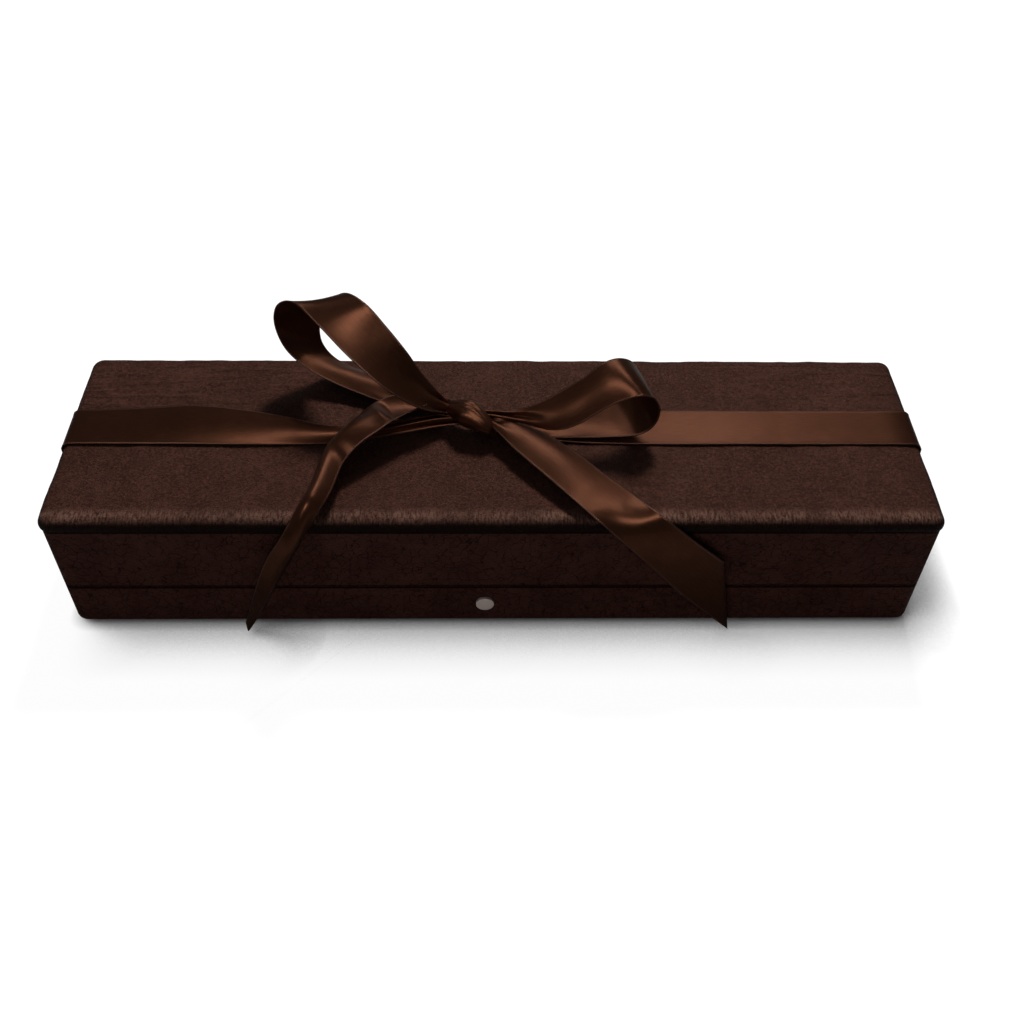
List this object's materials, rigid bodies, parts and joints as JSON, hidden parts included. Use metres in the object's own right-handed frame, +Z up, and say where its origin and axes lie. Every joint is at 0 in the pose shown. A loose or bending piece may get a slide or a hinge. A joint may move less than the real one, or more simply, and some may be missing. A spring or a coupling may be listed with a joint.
{
  "type": "flute case",
  "caption": "Leather-covered presentation case for a small flute, with a hinged padded lid, a push-button catch, and a satin ribbon tied in a bow.",
  "frame": {"origin": "middle of the case's footprint, on the surface it stands on", "axes": "+X along the case's length, to the right as seen from the front; -Y out of the front, where the button is; +Z up"},
  "size_m": [0.262, 0.0831, 0.081],
  "materials": {
    "top_leather": "dark brown leather with a fine grain and soft creases",
    "wall_leather": "dark brown leather with a crackled grain",
    "ribbon_satin": "dark brown satin with a thin selvedge",
    "lining_satin": "brown satin lining",
    "velvet": "short-pile velvet",
    "wood": "unfinished light wood",
    "board": "grey bookbinder's board",
    "foam": "thin foam sheet",
    "suede": "suede-like sole",
    "steel": "nickel-plated pressed steel",
    "brass": "polished brass",
    "button_plastic": "satin light grey"
  },
  "bodies": {
    "base": {"base_sole": "suede", "base_tray": "wood", "base_cover": "wall_leather", "insert_block": "velvet", "button_bush": "steel", "catch_housing": "steel", "strike_plate": "steel", "strike_screws": "steel", "catch_spring": "steel", "hinge_base_halves": "brass", "hinge_pins": "brass", "hinge_base_screws": "brass", "ribbon_base": "ribbon_satin"},
    "lid": {"lid_shell": "wood", "lid_cover": "wall_leather", "lid_lining": "lining_satin", "lid_cushion": "lining_satin", "top_board": "board", "top_pad": "foam", "top_cover": "top_leather", "striker": "steel", "striker_screws": "steel", "hinge_lid_halves": "brass", "hinge_lid_screws": "brass", "ribbon_left": "ribbon_satin", "ribbon_right": "ribbon_satin", "bow_knot": "ribbon_satin", "bow_loop_left": "ribbon_satin", "bow_loop_right": "ribbon_satin", "bow_tail_left": "ribbon_satin", "bow_tail_right": "ribbon_satin"},
    "button": {"button_cap": "button_plastic", "button_stem": "steel", "latch_plate": "steel"}
  },
  "joints": [
    {"name": "lid_hinge", "type": "hinge", "parent": "base", "child": "lid", "pos_m": [0, 0.0382, 0.018], "axis": [-1, 0, 0], "range_deg": [0, 100]},
    {"name": "button_push", "type": "slide", "parent": "base", "child": "button", "axis": [0, 1, 0], "range_m": [0, 0.0012], "stiffness_N_per_m": 400, "springref_m": -0.002, "deforming": ["catch_spring"]}
  ]
}
